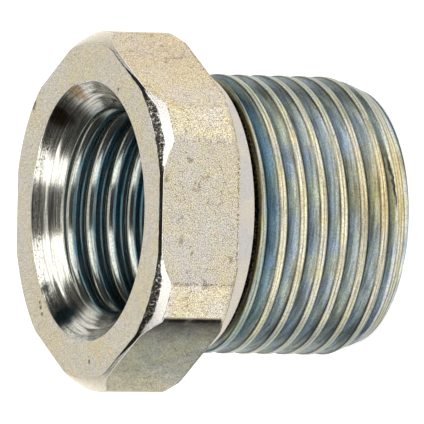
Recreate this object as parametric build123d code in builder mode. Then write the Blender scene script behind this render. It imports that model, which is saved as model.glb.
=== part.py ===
"""Hex bushing: a turned and zinc plated steel pipe reducer, in one piece.

A hexagon head carries a parallel 3/8 pipe thread outside and is bored and tapped with a
parallel 1/4 pipe thread inside. The bushing stands on its threaded end, with its axis on +Z,
the head uppermost and the origin in the middle of the end face. All sizes are in millimetres.
"""

from build123d import *
from math import ceil, copysign, radians, tan
import os

# Hexagon head
across_flats = 19.7
corner_diameter = 21.4
head_height = 5.2
front_edge_break = 0.18
front_face_diameter = 19.9
front_chamfer_height = 0.95
rear_face_diameter = 20.6
rear_chamfer_height = 0.5

# Shank below the head
overall_length = 17.5
plain_land_length = 1.73
relief_width = 0.57
end_chamfer_height = 1.9
end_face_diameter = 15.2

# Pipe thread form, the same outside and inside
threads_per_inch = 19
flank_angle = 27.5
cutter_overlap = 0.15

# Outside thread: the height of its first groove on the +X side is under the end face
male_major_diameter = 16.662
male_minor_diameter = 14.95
male_thread_start = -1.06

# Inside thread: the height at which the tap stops on the +X side is above the end face
female_major_diameter = 13.157
tapping_diameter = 11.8
female_thread_start = 7.62
mouth_diameter = 15.5
countersink_angle = 45
exit_chamfer = 0.4

pitch = 25.4 / threads_per_inch
flank_slope = tan(radians(flank_angle))
head_base = overall_length - head_height
land_bottom = head_base - plain_land_length
relief_bottom = land_bottom - relief_width
male_major_radius = male_major_diameter / 2
male_minor_radius = male_minor_diameter / 2
female_major_radius = female_major_diameter / 2
tapping_radius = tapping_diameter / 2


def groove_turn(surface_radius, root_radius, height):
    """One right-hand turn of a thread's V groove, whose root starts at the height on the +X side.

    The groove's mouth is a little outside the surface that it cuts.
    """
    out_of_metal = copysign(cutter_overlap, surface_radius - root_radius)
    mouth_radius = surface_radius + out_of_metal
    half_mouth = abs(mouth_radius - root_radius) * flank_slope
    with BuildPart() as turn:
        with BuildLine() as path:
            Helix(pitch, pitch, surface_radius, center=(0, 0, height))
        with BuildSketch(Plane.XZ):
            with BuildLine():
                Polyline(
                    (mouth_radius, height - half_mouth),
                    (mouth_radius, height + half_mouth),
                    (root_radius, height),
                    close=True,
                )
            make_face()
        sweep(path=path.line, is_frenet=True)
    return turn.part


male_turn = groove_turn(male_major_radius, male_minor_radius, male_thread_start)
male_turns = ceil((land_bottom - male_thread_start) / pitch)
female_turn = groove_turn(tapping_radius, female_major_radius, female_thread_start)
female_turns = ceil((overall_length - female_thread_start) / pitch) + 1

with BuildPart() as hex_bushing:
    # Threaded shank, from its chamfered end up to the neck of the relief groove
    relief_slope_height = (male_major_radius - male_minor_radius) * flank_slope
    with BuildSketch(Plane.XZ):
        with BuildLine():
            Polyline(
                (0, 0),
                (end_face_diameter / 2, 0),
                (male_major_radius, end_chamfer_height),
                (male_major_radius, relief_bottom),
                (male_minor_radius, relief_bottom + relief_slope_height),
                (male_minor_radius, land_bottom),
                (0, land_bottom),
                close=True,
            )
        make_face()
    revolve(axis=Axis.Z)
    for turn in range(male_turns):
        with Locations((0, 0, turn * pitch)):
            add(male_turn, mode=Mode.SUBTRACT)

    # Plain land between the thread and the head
    with BuildSketch(Plane.XY.offset(land_bottom)):
        Circle(male_major_radius)
    extrude(amount=plain_land_length)

    # Hexagon bar of the head, its front edges broken
    with BuildSketch(Plane.XY.offset(head_base)):
        RegularPolygon(radius=across_flats / 2, side_count=6, major_radius=False)
    extrude(amount=head_height)
    front_edges = hex_bushing.faces().sort_by(Axis.Z)[-1].edges()
    chamfer(front_edges, length=front_edge_break)

    # Corners of the hexagon turned down to a cylinder, and chamfered at both ends
    bar_radius = across_flats
    rear_edge = (rear_face_diameter / 2, head_base)
    rear_corner = (corner_diameter / 2, head_base + rear_chamfer_height)
    front_corner = (corner_diameter / 2, overall_length - front_chamfer_height)
    front_edge = (front_face_diameter / 2, overall_length)
    with BuildSketch(Plane.XZ):
        with BuildLine():
            Polyline(
                rear_edge,
                rear_corner,
                front_corner,
                front_edge,
                (bar_radius, overall_length),
                (bar_radius, head_base),
                close=True,
            )
        make_face()
    revolve(axis=Axis.Z, mode=Mode.SUBTRACT)

    # Hole through the middle, countersunk at the mouth and broken at the exit
    mouth_radius = mouth_diameter / 2
    countersink_depth = (mouth_radius - tapping_radius) / tan(radians(countersink_angle))
    with BuildSketch(Plane.XZ):
        with BuildLine():
            Polyline(
                (0, 0),
                (tapping_radius + exit_chamfer, 0),
                (tapping_radius, exit_chamfer),
                (tapping_radius, overall_length - countersink_depth),
                (mouth_radius, overall_length),
                (0, overall_length),
                close=True,
            )
        make_face()
    revolve(axis=Axis.Z, mode=Mode.SUBTRACT)

    # Inside thread, from the tap's full depth out through the countersink
    for turn in range(female_turns):
        with Locations((0, 0, turn * pitch)):
            add(female_turn, mode=Mode.SUBTRACT)

hex_bushing.part.label = "hex_bushing"
os.makedirs("parts", exist_ok=True)
export_step(hex_bushing.part, "parts/hex_bushing.step")
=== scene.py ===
import math

import bmesh
import bpy
import numpy as np
from mathutils import Matrix, Vector


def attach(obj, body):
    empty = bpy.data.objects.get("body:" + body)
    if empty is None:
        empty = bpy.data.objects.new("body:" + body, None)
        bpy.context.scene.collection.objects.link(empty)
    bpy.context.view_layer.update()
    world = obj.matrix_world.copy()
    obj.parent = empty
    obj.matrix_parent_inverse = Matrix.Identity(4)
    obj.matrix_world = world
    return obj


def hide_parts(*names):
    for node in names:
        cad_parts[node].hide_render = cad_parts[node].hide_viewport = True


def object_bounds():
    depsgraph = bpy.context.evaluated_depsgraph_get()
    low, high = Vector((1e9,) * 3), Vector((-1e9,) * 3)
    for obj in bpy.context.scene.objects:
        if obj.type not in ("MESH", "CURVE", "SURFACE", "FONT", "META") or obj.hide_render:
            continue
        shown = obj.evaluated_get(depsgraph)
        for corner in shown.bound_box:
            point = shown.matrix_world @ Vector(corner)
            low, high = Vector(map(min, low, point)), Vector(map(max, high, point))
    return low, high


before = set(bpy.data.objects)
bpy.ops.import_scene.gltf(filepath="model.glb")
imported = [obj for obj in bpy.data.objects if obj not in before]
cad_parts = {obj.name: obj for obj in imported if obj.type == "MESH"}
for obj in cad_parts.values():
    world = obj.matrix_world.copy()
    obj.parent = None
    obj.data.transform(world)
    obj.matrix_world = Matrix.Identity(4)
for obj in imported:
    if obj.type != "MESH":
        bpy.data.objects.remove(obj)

bl_info = {
    "name": "Hex Bushing",
    "version": (1, 0, 0),
    "blender": (4, 5, 0),
    "location": "View3D > Sidebar > Hex Bushing",
    "description": "Builds a zinc plated hex bushing with its two pipe threads, and a stage",
    "category": "Add Mesh",
}

NODE = "hex_bushing"
MM = 0.001
CAD_LOW, CAD_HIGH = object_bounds()
LENGTH = CAD_HIGH.z - CAD_LOW.z
FLATS = CAD_HIGH.y - CAD_LOW.y

# Angles round the axis that every row of the mesh shares, in degrees: an even step, and finer steps
# about each edge of the corners, which the even ones keep clear of
EVEN_STEP = 2.5
EDGE_STEPS = (-0.5, -0.2, 0.0, 0.2, 0.5)
CLEAR_OF_EDGE = 0.9

# Half the angle of both threads' grooves, and the height where each thread's groove crosses angle 0
FLANK_ANGLE = math.radians(27.5)
OUTSIDE_START = -1.06 * MM
INSIDE_START = 4.86 * MM

# Rows across half of each groove, in millimetres from its middle, closer together at root and crest
OUTSIDE_STEPS = (0.0, 0.035, 0.08, 0.16, 0.26, 0.35, 0.405, 0.44, 0.475, 0.53, 0.60)
INSIDE_STEPS = (0.0, 0.04, 0.10, 0.20, 0.29, 0.335, 0.375, 0.43, 0.52)

# Height where the tap stopped, and the chamfer at the hole's far end
TAP_STOP = 7.6 * MM
HOLE_CHAMFER = 0.4 * MM

# How wide surfaces blend where they meet, and lengths too small to matter
BLEND = 0.02 * MM
CORNER_BLEND = 0.04 * MM
MERGED = 1.5e-6
THIN = 1e-6
TINY = 1e-9

# Radius at which distances round the axis are true in the turning UV map
TURNING_RADIUS = 8.0 * MM


def linear(hex_colour):
    """A colour written as sRGB hex, as the linear RGBA that shaders take."""
    values = [int(hex_colour[i : i + 2], 16) / 255 for i in (1, 3, 5)]
    return (*[v / 12.92 if v <= 0.04045 else ((v + 0.055) / 1.055) ** 2.4 for v in values], 1.0)


# ---------------------------------------------------------------- sizes and colours


def length_property(name, default, text):
    """A length with its default in millimetres, which the sidebar shows in the scene's own unit."""
    return bpy.props.FloatProperty(
        name=name, description=text, default=default * MM, min=0.0, precision=5, unit="LENGTH"
    )


def colour_property(name, hex_colour, text):
    """A colour of the plating, written as sRGB hex."""
    return bpy.props.FloatVectorProperty(
        name=name,
        description=text,
        default=linear(hex_colour),
        min=0.0,
        max=1.0,
        size=4,
        subtype="COLOR",
    )


class BushingSizes(bpy.types.PropertyGroup):
    """Sizes of the bushing."""

    across_flats: length_property("Across flats", FLATS / MM, "Hexagon between two flats")
    corner_diameter: length_property("Corner diameter", 21.4, "What the corners are turned to")
    head_height: length_property("Head height", 5.2, "Height of the hexagon head")
    face_diameter: length_property("Front face diameter", 19.9, "Front face inside its chamfer")
    front_break: length_property("Front edge break", 0.18, "Width of the flats' front edge")
    front_chamfer: length_property("Front chamfer height", 0.95, "Its height at the corners")
    chamfer_bulge: length_property("Chamfer bulge", 0.09, "Front chamfer's bulge in its middle")
    rear_diameter: length_property("Rear face diameter", 20.6, "Shoulder inside its chamfer")
    rear_chamfer: length_property("Rear chamfer height", 0.5, "Its height at the corners")
    overall_length: length_property("Overall length", LENGTH / MM, "Height of the whole bushing")
    land_length: length_property("Plain land length", 1.73, "Plain part under the head")
    relief_width: length_property("Relief width", 0.57, "Width of the relief groove under the land")
    end_chamfer: length_property("End chamfer height", 1.9, "Chamfer at the threaded end")
    end_diameter: length_property("End face diameter", 15.2, "Diameter of the threaded end's face")
    pitch: length_property("Thread pitch", 25.4 / 19, "Distance between neighbouring thread crests")
    male_major: length_property("Outside thread diameter", 16.662, "Over the outside crests")
    male_minor: length_property("Outside thread root", 14.95, "Root diameter of the outside thread")
    female_major: length_property("Inside thread root", 13.157, "Over the inside roots")
    female_minor: length_property("Inside thread diameter", 11.8, "Within the inside crests")
    mouth_diameter: length_property("Mouth diameter", 15.5, "Diameter of the countersunk mouth")
    edge_break: length_property("Edge break", 0.06, "Width of the rounding on each edge")


class BushingColours(bpy.types.PropertyGroup):
    """Colours of the plating."""

    warm: colour_property("Warm plating", "#FFF4D4", "Plating with a yellow cast, on the flats")
    pale: colour_property("Pale plating", "#FCF5E4", "Plain pale plating")
    cool: colour_property("Cool plating", "#E8F2FF", "Plating with a blue cast, on the thread")
    gold: colour_property("Gold plating", "#FBEAB4", "Plating with a golden cast, near the end")
    # Also the colour of the painted shadow in the relief groove
    smut: colour_property("Smut", "#2B2620", "Dark film caught along the edges")
    floor: colour_property("Floor", "#F7F6F4", "Pale floor")


# ---------------------------------------------------------------- mesh


def angles():
    """Angles round the axis in radians, closer together at the edges of the hexagon's corners."""
    s = bpy.context.scene.bushing_sizes
    band = 30 - math.degrees(math.acos(s.across_flats / s.corner_diameter))
    found = set(np.round(np.arange(0, 360, EVEN_STEP), 4))
    for corner in range(0, 360, 60):
        for side in (-1, 1):
            edge = corner + side * band
            found = {a for a in found if abs((a - edge + 180) % 360 - 180) > CLEAR_OF_EDGE}
            found |= {round((edge + step) % 360, 4) for step in EDGE_STEPS}
    return np.radians(np.array(sorted(found) + [360.0]))


def soft_max(a, b, width):
    """The greater of two, blended over the width where they meet."""
    gap = b - a
    return a + (gap + np.sqrt(gap * gap + width * width)) / 2


def soft_min(a, b, width):
    """The lesser of two, blended over the width where they meet."""
    return -soft_max(-a, -b, width)


def bar_radius(angle):
    """Radius of the hexagon bar with its corners turned down, at each angle."""
    s = bpy.context.scene.bushing_sizes
    off_flat = np.degrees(angle) % 60 - 30
    flat = s.across_flats / 2 / np.cos(np.radians(off_flat))
    return soft_min(s.corner_diameter / 2, flat, CORNER_BLEND)


def straight(a, b, count):
    """Points strictly between a and b, each an array of (radius, height) per angle."""
    t = np.arange(1, count) / count
    return [a + (b - a) * x for x in t]


def eased(before, corner, after, width, count=4):
    """A corner rounded over the width, as a short curve from one side to the other."""
    back = np.linalg.norm(before - corner, axis=1, keepdims=True)
    ahead = np.linalg.norm(after - corner, axis=1, keepdims=True)
    start = corner + (before - corner) * np.minimum(width / np.maximum(back, 1e-9), 0.45)
    end = corner + (after - corner) * np.minimum(width / np.maximum(ahead, 1e-9), 0.45)
    t = np.arange(count + 1) / count
    return [start * (1 - x) ** 2 + corner * 2 * x * (1 - x) + end * x * x for x in t]


def thread_height(phase, pitch, depth, root_width, crest_width):
    """How far a thread's surface is below its crest, at a distance from the groove's middle."""
    slope = 1 / math.tan(FLANK_ANGLE)
    aside = np.abs((phase + pitch / 2) % pitch - pitch / 2)
    flank = depth - aside * slope
    below = soft_max(0.0, flank, crest_width * slope / 2)
    return soft_min(below, depth - root_width * slope / 2, root_width * slope / 3)


class Skin:
    """Collects the bushing's surface as strips of quads, with what each vertex is for."""

    def __init__(self, angle):
        self.angle = angle
        self.points, self.faces, self.kinds, self.uv = [], [], [], []
        self.data = {"across": [], "smut": []}
        self.count = 0

    def strip(self, rows, kind, along=0.0, helical=None, across=None, smut=None):
        """Quads between rows, each an array of (radius, height) per angle.

        along is how far along the section the first row is, and helical is the same for each
        vertex where the rows follow a thread. across is how far each vertex is from a groove's
        middle, as a share of half a pitch, and smut is how much dark film it holds, or how much
        painted shadow in the relief groove.
        Returns how far along the section the last row is.
        """
        radius = np.array([r[:, 0] for r in rows])
        height = np.array([r[:, 1] for r in rows])
        step = np.hypot(np.diff(radius, axis=0), np.diff(height, axis=0)).mean(axis=1)
        run = along + np.concatenate([[0.0], np.cumsum(step)])
        n, m = radius.shape
        x, y = radius * np.cos(self.angle), radius * np.sin(self.angle)
        self.points.append(np.stack([x, y, height], axis=-1).reshape(-1, 3))
        for key, value, plain in (("across", across, 1.0), ("smut", smut, 0.0)):
            value = plain if value is None else np.asarray(value, float)
            if np.ndim(value) == 1 and len(value) == n:
                value = value[:, None]
            self.data[key].append(np.broadcast_to(value, (n, m)).reshape(-1))
        u = np.broadcast_to(self.angle * TURNING_RADIUS, (n, m))
        v = np.broadcast_to(run[:, None], (n, m)) if helical is None else helical
        self.uv.append(np.stack([u, v], axis=-1).reshape(-1, 2))
        i, j = np.meshgrid(np.arange(n - 1), np.arange(m - 1), indexing="ij")
        a = self.count + i * m + j
        quads = np.stack([a, a + m, a + m + 1, a + 1], axis=-1).reshape(-1, 4)
        self.faces.append(quads)
        self.kinds.append(np.full(len(quads), kind))
        self.count += n * m
        return run[-1]

    def object(self, name, materials):
        """The closed mesh object."""
        points = np.concatenate(self.points)
        faces = np.concatenate(self.faces)
        mesh = bpy.data.meshes.new(name)
        mesh.from_pydata(points.tolist(), [], faces.tolist())
        mesh.polygons.foreach_set("material_index", np.concatenate(self.kinds).astype(np.int32))
        for key, values in self.data.items():
            attribute = mesh.attributes.new(key, "FLOAT", "POINT")
            attribute.data.foreach_set("value", np.concatenate(values).astype(np.float32))
        layer = mesh.uv_layers.new(name="turning")
        uv = np.concatenate(self.uv)[faces.reshape(-1)]
        layer.data.foreach_set("uv", uv.reshape(-1).astype(np.float32))
        for material in materials:
            mesh.materials.append(material)
        body = bmesh.new()
        body.from_mesh(mesh)
        bmesh.ops.remove_doubles(body, verts=body.verts, dist=MERGED)
        bmesh.ops.dissolve_degenerate(body, edges=body.edges, dist=THIN)
        bmesh.ops.recalc_face_normals(body, faces=body.faces)
        for face in body.faces:
            face.smooth = True
        open_edges = sum(1 for e in body.edges if len(e.link_faces) != 2)
        if open_edges:
            raise RuntimeError(f"{name} has {open_edges} open edges")
        body.to_mesh(mesh)
        body.free()
        piece = bpy.data.objects.new(name, mesh)
        bpy.context.scene.collection.objects.link(piece)
        return piece


# The material slots, in the order that finishes() lists them
FLAT, FACE, CHAMFER, LAND, THREAD, BORE = range(6)

# Stains and painted shade on the flats: which way the flat faces, the tint, from and to where
# across it in millimetres, and how strong at each. The last two are painted shade on the flat
# facing -X: greyer, and darker towards one edge
STAINS_AND_PAINTED_SHADE = (
    ((0.866, -0.5, 0.0), "#EBE4DC", -4.0, 2.0, 0.6, 1.0),
    ((0.0, -1.0, 0.0), "#EAECF4", -4.4, -4.1, 0.0, 1.0),
    ((-0.866, -0.5, 0.0), "#9AA3A2", -5.0, 0.5, 0.6, 1.0),
    ((-0.866, -0.5, 0.0), "#3A3029", 1.2, 4.3, 0.0, 1.0),
)

# Films in the countersink: centre and radius in millimetres, and tint
FILMS = (
    ((5.7, 4.7, 17.2), 1.1, "#7A6655"),
    ((7.1, 2.3, 17.2), 0.9, "#C2A98C"),
    ((-6.3, 3.8, 17.0), 1.2, "#5F7C8C"),
    ((-4.6, 5.9, 17.4), 0.5, "#6A6F74"),
)

# Painted light and shade across the thread, from the groove's middle (0) to the crest's (1):
# painted shade dark in the root that pales up the flank, darker at the crest's edge and bright
# beside the crest's middle
THREAD_PAINTED_SHADES = (
    (0.08, "#B2BCC2"),
    (0.20, "#DAE1E4"),
    (0.34, "#F8FBFB"),
    (0.50, "#FFFFFA"),
    (0.57, "#FFFFFC"),
    (0.62, "#B0AA98"),
    (0.66, "#B0AA98"),
    (0.72, "#DDD2B6"),
    (0.80, "#FFF6DC"),
    (0.91, "#FFF6DC"),
)

# Knocks on the front face: centre and radius, in millimetres
KNOCKS = (
    ((6.1, 7.6, 17.45), 0.2),
    ((6.35, 7.45, 17.45), 0.2),
    ((7.2, -3.9, 17.5), 0.15),
    ((-5.5, 6.25, 17.5), 0.15),
    ((-5.8, 6.1, 17.5), 0.18),
    ((-6.2, 5.9, 17.5), 0.15),
    ((-8.9, -0.7, 17.5), 0.17),
)


class Section:
    """Heights and radii of the bushing's section, worked out from its sizes."""

    def __init__(self):
        s = bpy.context.scene.bushing_sizes
        self.sizes = s
        self.angle = angles()
        self.bar = bar_radius(self.angle)
        self.corner = s.corner_diameter / 2
        self.mouth, self.face = s.mouth_diameter / 2, s.face_diameter / 2
        self.crest, self.root = s.male_major / 2, s.male_minor / 2
        self.tap, self.tap_root = s.female_minor / 2, s.female_major / 2
        self.top = s.overall_length
        self.base = self.top - s.head_height
        self.land = self.base - s.land_length
        self.relief = self.land - s.relief_width
        # Just above where the countersink has cut the inside thread away
        self.clear = self.top - (self.mouth - self.tap_root) + 0.03 * MM

    def ring(self, radius, height):
        """A row round the axis, at one height or one radius or at one for each angle."""
        one = np.ones_like(self.angle)
        return np.stack([radius * one, height * one], axis=-1)

    def turned(self, radius):
        """The turned corners at a radius: level inside the front face, then the bulged chamfer."""
        part = np.clip((radius - self.face) / (self.corner - self.face), 0, 1)
        bulge = self.sizes.chamfer_bulge * 4 * part * (1 - part)
        return np.stack([radius, self.top - self.sizes.front_chamfer * part + bulge], axis=-1)

    def outside(self, height, phase):
        """Radius of the outside thread, cut down by the end chamfer and the relief groove."""
        s = self.sizes
        depth = self.crest - self.root
        thread = self.crest - thread_height(phase, s.pitch, depth, 0.12 * MM, 0.08 * MM)
        narrow = s.end_diameter / 2
        blank = np.minimum(self.crest, narrow + (self.crest - narrow) * height / s.end_chamfer)
        slope = self.crest - (height - self.relief) / math.tan(FLANK_ANGLE)
        blank = np.minimum(blank, np.maximum(slope, self.root))
        return soft_min(blank, thread, BLEND)

    def inside(self, height, phase):
        """Radius of the inside thread, which fades in above the tap's stop and ends in the cone."""
        s = self.sizes
        depth = thread_height(phase, s.pitch, self.tap_root - self.tap, 0.25 * MM, 0.32 * MM)
        thread = self.tap + depth * np.clip((height - TAP_STOP) / (1.2 * s.pitch), 0, 1)
        cone = self.mouth - (self.top - height)
        radius = soft_max(thread, cone, BLEND)
        radius = np.where(height >= self.clear - TINY, cone, radius)
        return np.where(height <= TAP_STOP + TINY, self.tap, radius)


def helix_rows(angle, pitch, start, low, high, steps, surface):
    """Rows that follow a thread between two heights.

    Returns the rows, how far each vertex is across the groove and how far along the thread.
    """
    half = [step * MM for step in steps]
    offsets = half + [pitch / 2] + [pitch - step for step in reversed(half[1:])] + [pitch]
    rows, across, runs = [], [], []
    turn = math.floor((low - start) / pitch) - 2
    while start + turn * pitch < high + pitch:
        for offset in offsets:
            free = start + turn * pitch + offset + pitch * angle / (2 * math.pi)
            height = np.clip(free, low, high)
            phase = height - start - pitch * angle / (2 * math.pi)
            rows.append(np.stack([surface(height, phase), height], axis=-1))
            across.append(np.abs((phase + pitch / 2) % pitch - pitch / 2) * 2 / pitch)
            runs.append(free)
        turn += 1
    return rows, np.array(across), np.array(runs)


def add_countersink(skin, part):
    """The countersink, with a fine ring part way up. Returns its edge's rows and the run so far."""
    cone_end = part.ring(part.mouth - (part.top - part.clear), part.clear)
    mouth_edge = part.ring(part.mouth, part.top)
    rows = [cone_end, *straight(cone_end, mouth_edge, 14)]
    for row, sunk in ((4, 0.025 * MM), (5, 0.05 * MM)):
        rows[row] = rows[row] - np.array([0.0, sunk])
    edge = part.sizes.edge_break
    ease = eased(cone_end, mouth_edge, part.ring(part.face, part.top), edge)
    rows = rows[:-1] + ease[:3]
    # Smut gathers near the mouth
    smutty = part.mouth - 0.47 * MM
    smut = [0.43 if row[0, 0] > smutty else 0.12 for row in rows]
    return ease, skin.strip(rows, BORE, smut=smut)


def chamfer_smut(part, share, sliver):
    """Smut on the chamfer, heavier on the -Y side.

    share goes from its inner edge (0) to its outer edge (1). sliver is 1 where the chamfer is wide
    and 0 where only the broken edge of a flat is left.
    """
    worn = np.clip((-np.sin(part.angle) - 0.45) / 0.2, 0, 1)
    inner_half = np.clip((0.58 - share) / 0.2 + 0.5, 0, 1)
    broken_edge = np.clip((0.2 + worn * 0.8 - share) / 0.08 + 0.5, 0, 1)
    rim = 0.5 * (share > 0.99)
    return sliver * np.maximum(0.6 * inner_half * worn, rim) + (1 - sliver) * broken_edge * 0.72


def add_head(skin, part, ease, run):
    """Front face, chamfer, flats and rear chamfer. Returns the shoulder edge's rows and the run."""
    s = part.sizes
    edge = s.edge_break
    # The flats' front edges are broken where the turned chamfer leaves them standing
    inner_bar = part.bar - s.front_break
    sliver = np.clip((inner_bar - part.face) / (0.25 * MM), 0, 1)
    rim_edge = part.turned(np.minimum(inner_bar, part.face))
    bar_top = part.turned(part.bar)
    drop = s.front_break * (1 - sliver) + edge * sliver
    bar_top[:, 1] = np.minimum(bar_top[:, 1], part.top - drop)
    out = eased(part.ring(part.mouth, part.top), rim_edge, bar_top, edge * 0.6)
    run = skin.strip(ease[2:] + straight(ease[-1], out[0], 10) + out[:3], FACE, run)

    rows = out[2:]
    shares = np.linspace(0.1, 0.9, 9)
    for t in shares:
        on_cone = part.turned(rim_edge[:, 0] + (part.bar - rim_edge[:, 0]) * t)
        chord = rim_edge + (bar_top - rim_edge) * t
        rows.append(chord + (on_cone - chord) * sliver[:, None])
    rear_face = s.rear_diameter / 2
    cut = np.clip((part.bar - rear_face) / (part.corner - rear_face), 0, 1)
    bar_low = np.stack([part.bar, part.base + s.rear_chamfer * cut], axis=-1)
    down = eased(rows[-1], bar_top, bar_low, edge)
    rows += down[:3]
    share = [0.0] * (len(rows) - len(shares) - 3) + list(shares) + [1.0] * 3
    smut = chamfer_smut(part, np.array(share)[:, None], sliver)
    run = skin.strip(rows, CHAMFER, run, smut=smut)

    rear = part.ring(np.minimum(part.bar, rear_face), part.base)
    low = eased(bar_top, bar_low, rear, edge)
    back = eased(bar_low, rear, part.ring(part.crest, part.base), edge)
    run = skin.strip(down[2:] + straight(down[-1], low[0], 9) + low[:3], FLAT, run)
    return back, skin.strip(low[2:] + back[:3], FLAT, run)


def add_neck(skin, part, back, run):
    """Shoulder, plain land and relief groove. Returns the height where the thread takes over."""
    edge = part.sizes.edge_break
    neck, lip = part.ring(part.crest, part.base), part.ring(part.crest, part.land)
    end = part.relief + (part.crest - part.root) * 0.52 + 0.04 * MM
    wall, floor = part.ring(part.root, part.land), part.ring(part.root, end)
    inner = eased(back[-1], neck, lip, edge)
    run = skin.strip(back[2:] + straight(back[-1], inner[0], 4) + inner[:3], FACE, run)
    fall = eased(neck, lip, wall, edge * 0.5)
    foot = eased(lip, wall, floor, edge * 0.8)
    run = skin.strip(inner[2:] + straight(inner[-1], fall[0], 5) + fall[:2], LAND, run)
    rows = fall[1:] + straight(fall[-1], foot[0], 3) + foot + [floor]
    # Painted shadow under the land's lower edge, down into the relief groove, laid on as smut
    smut = [0.9] * 4 + [0.0] * 2 + [0.2] * (len(rows) - 6)
    skin.strip(rows, THREAD, run, smut=smut)
    return float(floor[0, 1])


def add_outside_thread(skin, part, high):
    """The outside thread, up to a height. Returns the row round the threaded end."""
    pitch = part.sizes.pitch
    rows, across, runs = helix_rows(
        part.angle, pitch, OUTSIDE_START, 0.0, high, OUTSIDE_STEPS, part.outside
    )
    height = np.array([row[:, 1] for row in rows])
    # Painted shadow on the relief groove's sloped wall, laid on as smut
    smut = 0.56 * np.clip((height - part.relief - 0.07 * MM) / (0.1 * MM), 0, 1)
    skin.strip(rows, THREAD, helical=runs, across=across, smut=smut)
    return rows[0]


def add_hole(skin, part, rim):
    """The threaded end's face, the plain hole, and the inside thread up to the countersink."""
    above, bottom = part.ring(part.tap, HOLE_CHAMFER), part.ring(part.tap, TAP_STOP)
    lip = eased(rim, part.ring(part.tap + HOLE_CHAMFER, 0.0), above, part.sizes.edge_break)
    skin.strip([rim, *straight(rim, lip[0], 4), *lip[:3]], FACE)
    skin.strip([*lip[2:], above, *straight(above, bottom, 6), bottom], BORE)
    pitch, clear = part.sizes.pitch, float(part.clear)
    rows, across, runs = helix_rows(
        part.angle, pitch, INSIDE_START, TAP_STOP, clear, INSIDE_STEPS, part.inside
    )
    skin.strip(rows, BORE, helical=runs, across=across)


def build_skin(materials):
    """The bushing's whole surface, from the countersunk mouth round to the hole's far end."""
    part = Section()
    skin = Skin(part.angle)
    ease, run = add_countersink(skin, part)
    back, run = add_head(skin, part, ease, run)
    high = add_neck(skin, part, back, run)
    rim = add_outside_thread(skin, part, high)
    add_hole(skin, part, rim)
    return skin.object("hex_bushing_skin", materials)


# ---------------------------------------------------------------- finishes


# Settings that many nodes share, and the colour mix node's sockets, as several share a name
SMOOTH = {"interpolation_type": "SMOOTHSTEP"}
COVER = {"data_type": "RGBA"}
TINT = {"data_type": "RGBA", "blend_type": "MULTIPLY"}
DOT = {"operation": "DOT_PRODUCT"}
FACTOR, UNDER, OVER, MIXED = 0, 6, 7, 2


def node(tree, kind, links=None, out=0, **settings):
    """Adds a node with its settings and links, and returns the output asked for.

    Maths nodes take their values by number. A map range node takes its value, then from where to
    where it goes, then what that becomes (0 to 1 where left out).
    """
    made = tree.nodes.new(kind)
    for key, value in settings.items():
        setattr(made, key, value)
    for key, value in (links or {}).items():
        if isinstance(value, bpy.types.NodeSocket):
            tree.links.new(value, made.inputs[key])
        else:
            made.inputs[key].default_value = value
    return made.outputs[out] if made.outputs else None


def start(name):
    """An empty material, its node tree and the place on the object."""
    material = bpy.data.materials.new(name)
    material.use_nodes = True
    tree = material.node_tree
    tree.nodes.clear()
    place = node(tree, "ShaderNodeTexCoord", out="Object")
    return material, tree, place


def finish(tree, colour, roughness, normal):
    """Ends a plated steel material: a metal of this colour, roughness and normal."""
    links = {"Base Color": colour, "Metallic": 1.0, "Roughness": roughness, "Normal": normal}
    shader = node(tree, "ShaderNodeBsdfPrincipled", links)
    node(tree, "ShaderNodeOutputMaterial", {"Surface": shader})


def drifting(tree, place, size, first, second):
    """Two colours that drift into each other in clouds of this size."""
    cloud = node(tree, "ShaderNodeTexNoise", {"Vector": place, "Scale": 1 / size, "Detail": 3.0})
    links = {0: cloud, 1: 0.38, 2: 0.62}
    share = node(tree, "ShaderNodeMapRange", links, **SMOOTH)
    return node(tree, "ShaderNodeMix", {FACTOR: share, UNDER: first, OVER: second}, MIXED, **COVER)


def bloom(tree, place, colour, strength):
    """The passivation film's faint yellow, pink and green tints, in drifts about 1 mm wide."""
    links = {"Vector": place, "Scale": 1 / (0.9 * MM), "Detail": 4.0, "Roughness": 0.7}
    drift = node(tree, "ShaderNodeTexNoise", links)
    tint = node(tree, "ShaderNodeValToRGB", {"Fac": drift})
    stops = tint.node.color_ramp.elements
    stops[0].position, stops[0].color = 0.32, linear("#F8DDC8")
    stops[1].position, stops[1].color = 0.68, linear("#FBEDBE")
    for position, shade in ((0.42, "#E2EAD2"), (0.50, "#F4ECEC"), (0.58, "#E0E4EE")):
        stops.new(position).color = linear(shade)
    links = {FACTOR: strength, UNDER: colour, OVER: tint}
    return node(tree, "ShaderNodeMix", links, MIXED, **TINT)


def grained(tree, place, colour, size, strength):
    """Sandy grain: pits that hold a darker film. Returns the colour and the grain as a height.

    It is drawn coarse enough to be seen with the whole bushing in view.
    """
    links = {"Vector": place, "Scale": 1 / size, "Detail": 2.0, "Roughness": 0.75}
    grain = node(tree, "ShaderNodeTexNoise", links)
    links = {0: grain, 1: 0.33, 2: 0.62, 3: strength, 4: 0.0}
    pits = node(tree, "ShaderNodeMapRange", links, **SMOOTH)
    links = {FACTOR: pits, UNDER: colour, OVER: linear("#574A3A")}
    colour = node(tree, "ShaderNodeMix", links, MIXED, **TINT)
    links = {"Vector": place, "Scale": 0.35 / size, "Detail": 1.0}
    specks = node(tree, "ShaderNodeTexNoise", links)
    links = {0: specks, 1: 0.24, 2: 0.32, 3: strength * 0.5, 4: 0.0}
    specks = node(tree, "ShaderNodeMapRange", links, **SMOOTH)
    links = {FACTOR: specks, UNDER: colour, OVER: linear("#57493A")}
    return node(tree, "ShaderNodeMix", links, MIXED, **TINT), grain


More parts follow.
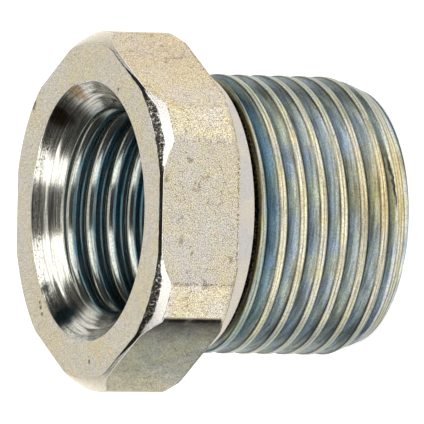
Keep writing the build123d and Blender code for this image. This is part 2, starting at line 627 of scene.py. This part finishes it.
def tool_lines(tree, place, spacing):
    """Fine lines round the axis left by the tool, this far apart, as a height.

    They are drawn coarser than real ones, which would be too fine to see, and drift slowly along
    their length so that they break off here and there.
    """
    turning = node(tree, "ShaderNodeUVMap", uv_map="turning")
    links = {0: place, 1: (0.04, 0.04, 0.0)}
    along = node(tree, "ShaderNodeVectorMath", links, operation="MULTIPLY")
    across = node(tree, "ShaderNodeSeparateXYZ", {0: turning}, "Y")
    across = node(tree, "ShaderNodeCombineXYZ", {"Z": across})
    where = node(tree, "ShaderNodeVectorMath", {0: along, 1: across}, operation="ADD")
    return node(tree, "ShaderNodeTexNoise", {"Vector": where, "Scale": 1 / spacing, "Detail": 2.0})


def in_lines(tree, lines, colour, shade, strength):
    """Darkens the low tool lines with a shade."""
    links = {0: lines, 1: 0.36, 2: 0.56, 3: strength, 4: 0.0}
    low = node(tree, "ShaderNodeMapRange", links, **SMOOTH)
    links = {FACTOR: low, UNDER: colour, OVER: shade}
    return node(tree, "ShaderNodeMix", links, MIXED, **TINT)


def with_smut_and_shade(tree, place, colour):
    """Lays the dark film, and the painted shadow in the relief groove, over the colour, with torn
    edges. Returns the colour and the tearing.
    """
    links = {"Vector": place, "Scale": 1 / (0.14 * MM), "Detail": 5.0, "Roughness": 0.85}
    torn = node(tree, "ShaderNodeTexNoise", links)
    smut = node(tree, "ShaderNodeAttribute", attribute_name="smut", out="Fac")
    excess = node(tree, "ShaderNodeMath", {0: smut, 1: 0.55}, operation="SUBTRACT")
    mask = node(tree, "ShaderNodeMath", {0: torn, 1: 1.1, 2: excess}, operation="MULTIPLY_ADD")
    mask = node(tree, "ShaderNodeMapRange", {0: mask, 1: 0.40, 2: 0.60}, **SMOOTH)
    film = tuple(bpy.context.scene.bushing_colours.smut)
    links = {FACTOR: mask, UNDER: colour, OVER: film}
    return node(tree, "ShaderNodeMix", links, MIXED, **COVER), torn


def spot(tree, place, centre, radius):
    """How much a place belongs to a ragged spot of this centre and radius, in millimetres."""
    centre = Vector(centre) * MM
    away = node(tree, "ShaderNodeVectorMath", {0: place, 1: centre}, "Value", operation="DISTANCE")
    links = {"Vector": place, "Scale": 1 / (radius * 0.5 * MM), "Detail": 3.0}
    wobble = node(tree, "ShaderNodeTexNoise", links)
    wobble = node(tree, "ShaderNodeMath", {0: wobble, 1: radius * MM}, operation="MULTIPLY")
    away = node(tree, "ShaderNodeMath", {0: away, 1: wobble}, operation="ADD")
    links = {0: away, 1: radius * 0.8 * MM, 2: radius * 1.7 * MM, 3: 1.0, 4: 0.0}
    return node(tree, "ShaderNodeMapRange", links, **SMOOTH)


def drawn_bar():
    """Zinc on cold drawn hexagon bar. Its sandy grain makes it an even, nearly matt cream."""
    s = bpy.context.scene.bushing_sizes
    c = bpy.context.scene.bushing_colours
    material, tree, place = start("zinc_on_drawn_bar")
    colour = drifting(tree, place, 3.0 * MM, tuple(c.warm), tuple(c.pale))
    colour = bloom(tree, place, colour, 0.55)
    # Two flats carry a faint tint, and a third, facing -X, is greyer with painted shade darker
    # towards one edge
    flat = s.across_flats / 2
    for facing, tint, low, high, weak, strong in STAINS_AND_PAINTED_SHADE:
        out = node(tree, "ShaderNodeVectorMath", {0: place, 1: facing}, "Value", **DOT)
        links = {0: out, 1: flat - 0.17 * MM, 2: flat - 0.09 * MM}
        on_flat = node(tree, "ShaderNodeMapRange", links)
        links = {0: place, 1: (-facing[1], facing[0], 0.0)}
        down = node(tree, "ShaderNodeVectorMath", links, "Value", **DOT)
        links = {0: down, 1: low * MM, 2: high * MM, 3: weak, 4: strong}
        deep = node(tree, "ShaderNodeMapRange", links, **SMOOTH)
        links = {"Vector": place, "Scale": 1 / (0.8 * MM), "Detail": 4.0, "Roughness": 0.7}
        cloud = node(tree, "ShaderNodeTexNoise", links)
        cloud = node(tree, "ShaderNodeMapRange", {0: cloud, 1: 0.3, 2: 0.55, 3: 0.8, 4: 1.0})
        deep = node(tree, "ShaderNodeMath", {0: deep, 1: cloud}, operation="MULTIPLY")
        deep = node(tree, "ShaderNodeMath", {0: deep, 1: on_flat}, operation="MULTIPLY")
        links = {FACTOR: deep, UNDER: colour, OVER: linear(tint)}
        colour = node(tree, "ShaderNodeMix", links, MIXED, **TINT)
    # Brown speckles along one corner's edge, across the axis, and along the flats' rear edge
    rear_edge = s.overall_length - s.head_height + 0.12 * MM
    for axis, offset, width in (("X", -4.2 * MM, 0.16 * MM), ("Z", rear_edge, 0.14 * MM)):
        along = node(tree, "ShaderNodeSeparateXYZ", {0: place}, axis)
        away = node(tree, "ShaderNodeMath", {0: along, 1: offset}, operation="SUBTRACT")
        away = node(tree, "ShaderNodeMath", {0: away}, operation="ABSOLUTE")
        near = node(tree, "ShaderNodeMapRange", {0: away, 1: 0.0, 2: width, 3: 0.24, 4: 0.0})
        links = {"Vector": place, "Scale": 1 / (0.13 * MM), "Detail": 2.0, "Roughness": 0.7}
        speckle = node(tree, "ShaderNodeTexNoise", links)
        speckle = node(tree, "ShaderNodeMath", {0: speckle, 1: near}, operation="ADD")
        links = {0: speckle, 1: 0.66, 2: 0.76, 3: 0.0, 4: 0.7}
        speckle = node(tree, "ShaderNodeMapRange", links, **SMOOTH)
        links = {FACTOR: speckle, UNDER: colour, OVER: linear("#96795A")}
        colour = node(tree, "ShaderNodeMix", links, MIXED, **TINT)
    # Handling marks: short curled smears
    links = {"Vector": place, "Scale": 1 / (0.8 * MM), "Detail": 5.0, "Roughness": 0.65}
    smear = node(tree, "ShaderNodeTexNoise", {**links, "Distortion": 1.2})
    links = {0: smear, 1: 0.58, 2: 0.66, 3: 0.0, 4: 0.6}
    smear = node(tree, "ShaderNodeMapRange", links, **SMOOTH)
    links = {FACTOR: smear, UNDER: colour, OVER: linear("#A4937A")}
    colour = node(tree, "ShaderNodeMix", links, MIXED, **TINT)
    colour, grain = grained(tree, place, colour, 0.055 * MM, 0.95)
    normal = node(tree, "ShaderNodeBump", {"Distance": 0.006 * MM, "Height": grain})
    finish(tree, colour, 0.42, normal)
    return material


def faced():
    """Zinc on a face turned in the lathe. Smoother than the bar, with a few knocks."""
    c = bpy.context.scene.bushing_colours
    material, tree, place = start("zinc_on_faced_steel")
    colour = drifting(tree, place, 3.5 * MM, tuple(c.pale), tuple(c.warm))
    colour = bloom(tree, place, colour, 0.6)
    for centre, radius in KNOCKS:
        links = {FACTOR: spot(tree, place, centre, radius), UNDER: colour, OVER: linear("#6E6352")}
        colour = node(tree, "ShaderNodeMix", links, MIXED, **COVER)
    colour, grain = grained(tree, place, colour, 0.055 * MM, 0.85)
    normal = node(tree, "ShaderNodeBump", {"Distance": 0.005 * MM, "Height": grain})
    finish(tree, colour, 0.34, normal)
    return material


def chamfered():
    """Zinc on corners cut with a form tool. Bright, with black smut torn into the inner half."""
    material, tree, place = start("zinc_on_turned_chamfer")
    # Painted shade: the chamfer is darker away from the -Y side
    side = node(tree, "ShaderNodeSeparateXYZ", {0: place}, "Y")
    side = node(tree, "ShaderNodeMapRange", {0: side, 1: -5.0 * MM, 2: -2.0 * MM})
    links = {FACTOR: side, UNDER: linear("#FFFBF2"), OVER: linear("#CFC4AD")}
    colour = node(tree, "ShaderNodeMix", links, MIXED, **COVER)
    colour, torn = with_smut_and_shade(tree, place, colour)
    normal = node(tree, "ShaderNodeBump", {"Distance": 0.02 * MM, "Height": torn})
    finish(tree, colour, 0.22, normal)
    return material


def plain_land():
    """Zinc on the plain turned land. Smooth, nearly without grain, in a plain warm grey."""
    material, tree, place = start("zinc_on_turned_land")
    colour = drifting(tree, place, 2.0 * MM, linear("#B9B5B2"), linear("#C2BBAE"))
    colour, _ = grained(tree, place, colour, 0.08 * MM, 0.2)
    lines = tool_lines(tree, place, 0.15 * MM)
    normal = node(tree, "ShaderNodeBump", {"Distance": 0.002 * MM, "Height": lines})
    finish(tree, colour, 0.38, normal)
    return material


def cut_thread():
    """Zinc on the cut thread. Cream crests with tool lines, and flanks with painted shade that
    pales from blue-grey at the root.
    """
    c = bpy.context.scene.bushing_colours
    material, tree, place = start("zinc_on_cut_thread")
    across = node(tree, "ShaderNodeAttribute", attribute_name="across", out="Fac")
    links = {"Vector": place, "Scale": 1 / (0.3 * MM), "Detail": 3.0}
    wobble = node(tree, "ShaderNodeTexNoise", links)
    # The shades' edges wander by a few hundredths of the groove's width
    links = {0: wobble, 1: 0.06, 2: across}
    across = node(tree, "ShaderNodeMath", links, operation="MULTIPLY_ADD")
    across = node(tree, "ShaderNodeMath", {0: across, 1: 0.03}, operation="SUBTRACT")
    # Painted shade: darkest in the groove's root, paling up the flank
    profile = node(tree, "ShaderNodeValToRGB", {"Fac": across})
    stops = profile.node.color_ramp.elements
    stops[0].position, stops[0].color = 0.04, linear("#60625C")
    stops[1].position, stops[1].color = 1.0, linear("#C2B292")
    for position, shade in THREAD_PAINTED_SHADES:
        stops.new(position).color = linear(shade)
    tint = drifting(tree, place, 2.6 * MM, tuple(c.cool), linear("#FAFFFA"))
    gold = spot(tree, place, (1.9, -7.6, 1.6), 3.2)
    gold = node(tree, "ShaderNodeMath", {0: gold, 1: 0.45}, operation="MULTIPLY")
    links = {FACTOR: gold, UNDER: tint, OVER: tuple(c.gold)}
    tint = node(tree, "ShaderNodeMix", links, MIXED, **COVER)
    links = {FACTOR: 1.0, UNDER: profile, OVER: tint}
    colour = node(tree, "ShaderNodeMix", links, MIXED, **TINT)
    colour = bloom(tree, place, colour, 0.5)
    # Painted shade: darker round towards the sides of the bushing, where the thread turns away
    side = node(tree, "ShaderNodeSeparateXYZ", {0: place}, "X")
    side = node(tree, "ShaderNodeMath", {0: side}, operation="ABSOLUTE")
    links = {0: side, 1: 4.0 * MM, 2: 8.2 * MM, 3: 0.0, 4: 0.85}
    side = node(tree, "ShaderNodeMapRange", links, **SMOOTH)
    links = {FACTOR: side, UNDER: colour, OVER: linear("#A3AFB0")}
    colour = node(tree, "ShaderNodeMix", links, MIXED, **TINT)
    # A blue film on the last turn, below the relief groove
    s = bpy.context.scene.bushing_sizes
    relief = s.overall_length - s.head_height - s.land_length - s.relief_width
    height = node(tree, "ShaderNodeSeparateXYZ", {0: place}, "Z")
    links = {0: height, 1: relief - 1.1 * MM, 2: relief - 0.7 * MM}
    near = node(tree, "ShaderNodeMapRange", links)
    links = {0: height, 1: relief - 0.06 * MM, 2: relief, 3: 1.0, 4: 0.0}
    edge = node(tree, "ShaderNodeMapRange", links)
    near = node(tree, "ShaderNodeMath", {0: near, 1: edge}, operation="MULTIPLY")
    links = {FACTOR: near, UNDER: colour, OVER: linear("#C4D8E6")}
    colour = node(tree, "ShaderNodeMix", links, MIXED, **TINT)
    # A black scratch round the end chamfer, within limits along X and on the -Y side
    parts = {axis: node(tree, "ShaderNodeSeparateXYZ", {0: place}, axis) for axis in "XYZ"}
    links = {0: parts["X"], 1: -0.08, 2: parts["Z"]}
    scratch = node(tree, "ShaderNodeMath", links, operation="MULTIPLY_ADD")
    links = {"Vector": place, "Scale": 1 / (0.5 * MM), "Detail": 3.0}
    wobble = node(tree, "ShaderNodeTexNoise", links)
    links = {0: wobble, 1: 0.25 * MM, 2: scratch}
    scratch = node(tree, "ShaderNodeMath", links, operation="MULTIPLY_ADD")
    scratch = node(tree, "ShaderNodeMath", {0: scratch, 1: 1.05 * MM}, operation="SUBTRACT")
    scratch = node(tree, "ShaderNodeMath", {0: scratch}, operation="ABSOLUTE")
    links = {0: scratch, 1: 0.03 * MM, 2: 0.09 * MM, 3: 0.9, 4: 0.0}
    scratch = node(tree, "ShaderNodeMapRange", links)
    for axis, low, high in (("X", 0.2, 0.8), ("X", 4.3, 3.2), ("Y", 0.0, -1.0)):
        inside = node(tree, "ShaderNodeMapRange", {0: parts[axis], 1: low * MM, 2: high * MM})
        scratch = node(tree, "ShaderNodeMath", {0: scratch, 1: inside}, operation="MULTIPLY")
    links = {FACTOR: scratch, UNDER: colour, OVER: tuple(c.smut)}
    colour = node(tree, "ShaderNodeMix", links, MIXED, **COVER)
    lines = tool_lines(tree, place, 0.10 * MM)
    colour = in_lines(tree, lines, colour, linear("#857B68"), 0.5)
    # Dark film, and the painted shadow in the relief groove
    colour, _ = with_smut_and_shade(tree, place, colour)
    colour, grain = grained(tree, place, colour, 0.09 * MM, 0.45)
    normal = node(tree, "ShaderNodeBump", {"Distance": 0.004 * MM, "Height": grain})
    links = {"Distance": 0.012 * MM, "Height": lines, "Normal": normal}
    normal = node(tree, "ShaderNodeBump", links)
    finish(tree, colour, 0.30, normal)
    return material


def tapped_hole():
    """Zinc in the tapped hole. Thin and bright, so that it looks blue and brown over the steel."""
    material, tree, place = start("zinc_in_tapped_hole")
    colour = drifting(tree, place, 1.3 * MM, linear("#688B98"), linear("#7F9095"))
    across = node(tree, "ShaderNodeAttribute", attribute_name="across", out="Fac")
    flank = node(tree, "ShaderNodeMapRange", {0: across, 1: 0.42, 2: 0.56, 3: 1.0, 4: 0.0})
    links = {FACTOR: flank, UNDER: colour, OVER: linear("#B6B9AF")}
    colour = node(tree, "ShaderNodeMix", links, MIXED, **COVER)
    # The countersink is paler than the thread
    top = bpy.context.scene.bushing_sizes.overall_length
    height = node(tree, "ShaderNodeSeparateXYZ", {0: place}, "Z")
    cone = node(tree, "ShaderNodeMapRange", {0: height, 1: top - 1.6 * MM, 2: top - 1.3 * MM})
    links = {FACTOR: cone, UNDER: colour, OVER: linear("#E3E1D4")}
    colour = node(tree, "ShaderNodeMix", links, MIXED, **COVER)
    colour, _ = with_smut_and_shade(tree, place, colour)
    for centre, radius, shade in FILMS:
        links = {FACTOR: spot(tree, place, centre, radius), UNDER: colour, OVER: linear(shade)}
        colour = node(tree, "ShaderNodeMix", links, MIXED, **TINT)
    lines = tool_lines(tree, place, 0.10 * MM)
    colour = in_lines(tree, lines, colour, linear("#46545A"), 0.5)
    colour, _ = grained(tree, place, colour, 0.10 * MM, 0.3)
    normal = node(tree, "ShaderNodeBump", {"Distance": 0.006 * MM, "Height": lines})
    finish(tree, colour, 0.18, normal)
    return material


def finishes():
    """The finishes of the bushing, in the order of its material slots."""
    return [drawn_bar(), faced(), chamfered(), plain_land(), cut_thread(), tapped_hole()]


# ---------------------------------------------------------------- stage


def build_floor():
    """A wide pale floor that also shows as the background."""
    mesh = bpy.data.meshes.new("floor")
    wide = 3.0
    corners = [(-wide, -wide, 0), (wide, -wide, 0), (wide, wide, 0), (-wide, wide, 0)]
    mesh.from_pydata(corners, [], [(0, 1, 2, 3)])
    floor = bpy.data.objects.new("floor", mesh)
    floor.location.z = CAD_LOW.z - 0.01 * MM
    bpy.context.scene.collection.objects.link(floor)
    material = bpy.data.materials.new("pale_paper")
    material.use_nodes = True
    tree = material.node_tree
    tree.nodes.clear()
    # It glows a little to the eye and in reflections, and not as a light on the bushing
    seen = node(tree, "ShaderNodeLightPath", out="Is Camera Ray")
    for ray in ("Is Glossy Ray", "Is Transmission Ray"):
        links = {0: seen, 1: node(tree, "ShaderNodeLightPath", out=ray)}
        seen = node(tree, "ShaderNodeMath", links, operation="MAXIMUM")
    lift = node(tree, "ShaderNodeMath", {0: seen, 1: 0.58}, operation="MULTIPLY")
    pale = tuple(bpy.context.scene.bushing_colours.floor)
    paper = node(tree, "ShaderNodeBsdfDiffuse", {"Color": pale})
    glow = node(tree, "ShaderNodeEmission", {"Strength": lift})
    both = node(tree, "ShaderNodeAddShader", {0: paper, 1: glow})
    node(tree, "ShaderNodeOutputMaterial", {"Surface": both})
    mesh.materials.append(material)
    return floor


def build_world():
    """A white studio wall, low at the sides, higher in front and behind, under a dark ceiling."""
    world = bpy.context.scene.world or bpy.data.worlds.new("studio")
    bpy.context.scene.world = world
    world.use_nodes = True
    tree = world.node_tree
    tree.nodes.clear()
    way = node(tree, "ShaderNodeTexCoord", out="Generated")
    side = node(tree, "ShaderNodeSeparateXYZ", {0: way}, "X")
    side = node(tree, "ShaderNodeMath", {0: side}, operation="ABSOLUTE")
    links = {0: way, 1: (0.0, -0.25, 1.0)}
    up = node(tree, "ShaderNodeVectorMath", links, "Value", **DOT)
    up = node(tree, "ShaderNodeMath", {0: side, 1: 0.55, 2: up}, operation="MULTIPLY_ADD")
    links = {0: up, 1: 0.5, 2: 0.72, 3: 1.0, 4: 0.06}
    wall = node(tree, "ShaderNodeMapRange", links, **SMOOTH)
    links = {0: way, 1: (0.0, 0.9, 1.0)}
    near = node(tree, "ShaderNodeVectorMath", links, "Value", **DOT)
    links = {0: near, 1: 0.36, 2: 0.43, 3: 1.0, 4: 0.0}
    near = node(tree, "ShaderNodeMapRange", links, **SMOOTH)
    wall = node(tree, "ShaderNodeMath", {0: wall, 1: near}, operation="MAXIMUM")
    back = node(tree, "ShaderNodeBackground", {"Color": (1, 1, 1, 1), "Strength": wall})
    node(tree, "ShaderNodeOutputWorld", {"Surface": back})


def build_lamp(name, place, size, turn, level, colour=(1.0, 1.0, 1.0)):
    """A softbox above the object that shines straight down. level is how bright it looks."""
    lamp = bpy.data.lights.new(name, "AREA")
    lamp.shape = "RECTANGLE"
    lamp.size, lamp.size_y = size
    lamp.energy = level * math.pi * size[0] * size[1]
    lamp.color = colour
    made = bpy.data.objects.new(name, lamp)
    made.location = place
    made.rotation_euler = (0, 0, math.radians(turn))
    bpy.context.scene.collection.objects.link(made)
    return made


def build_camera():
    """Long lens, looking down past the head, rolled so that the axis lies level."""
    camera = bpy.data.cameras.new("camera")
    camera.sensor_width = 36
    camera.lens = 1073.8  # mm: very long, so that the sides stay nearly parallel
    camera.clip_start, camera.clip_end = 0.01, 20
    made = bpy.data.objects.new("camera", camera)
    right = Vector((0.02042, -0.44248, -0.89652))
    up = Vector((0.99979, 0.00904, 0.01831))
    back = right.cross(up).normalized()
    turn = Matrix((right, up, back)).transposed().to_4x4()
    made.matrix_world = Matrix.Translation(Vector((0.0936, -674.36, 342.09)) * MM) @ turn
    bpy.context.scene.collection.objects.link(made)
    bpy.context.scene.camera = made


# ---------------------------------------------------------------- operators and panel


class BUSHING_OT_body(bpy.types.Operator):
    """Build the hex bushing"""

    bl_idname = "bushing.body"
    bl_label = "Build bushing"

    def execute(self, context):
        piece = build_skin(finishes())
        shade = piece.modifiers.new("even shading", "WEIGHTED_NORMAL")
        shade.mode = "FACE_AREA"
        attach(piece, "root")
        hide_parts(NODE)
        return {"FINISHED"}


class BUSHING_OT_stage(bpy.types.Operator):
    """Build the floor, the lights and the camera"""

    bl_idname = "bushing.stage"
    bl_label = "Build stage"

    def execute(self, context):
        build_floor()
        build_world()
        build_lamp("softbox_plus", (0.252, -0.05, 0.4), (0.30, 0.42), 16, 2.1)
        build_lamp("softbox_minus", (-0.182, -0.05, 0.4), (0.16, 0.44), -16, 2.1)
        build_lamp("panel_behind", (0.0, 0.14, 0.4), (0.46, 0.20), 0, 1.3, (0.85, 0.93, 1.0))
        build_camera()
        context.scene.view_settings.view_transform = "Standard"
        return {"FINISHED"}


class BUSHING_PT_panel(bpy.types.Panel):
    """Sizes and colours of the bushing, and its two operators"""

    bl_idname = "BUSHING_PT_panel"
    bl_label = "Hex Bushing"
    bl_space_type = "VIEW_3D"
    bl_region_type = "UI"
    bl_category = "Hex Bushing"

    def draw(self, context):
        layout = self.layout
        for group in (context.scene.bushing_sizes, context.scene.bushing_colours):
            column = layout.column(align=True)
            for key in group.__annotations__:
                column.prop(group, key)
        layout.operator(BUSHING_OT_body.bl_idname)
        layout.operator(BUSHING_OT_stage.bl_idname)


CLASSES = (BushingSizes, BushingColours, BUSHING_OT_body, BUSHING_OT_stage, BUSHING_PT_panel)


def register():
    for cls in CLASSES:
        bpy.utils.register_class(cls)
    bpy.types.Scene.bushing_sizes = bpy.props.PointerProperty(type=BushingSizes)
    bpy.types.Scene.bushing_colours = bpy.props.PointerProperty(type=BushingColours)


def unregister():
    del bpy.types.Scene.bushing_colours
    del bpy.types.Scene.bushing_sizes
    for cls in reversed(CLASSES):
        bpy.utils.unregister_class(cls)


def main():
    register()
    bpy.ops.bushing.body()
    bpy.ops.bushing.stage()


if __name__ == "__main__":
    main()
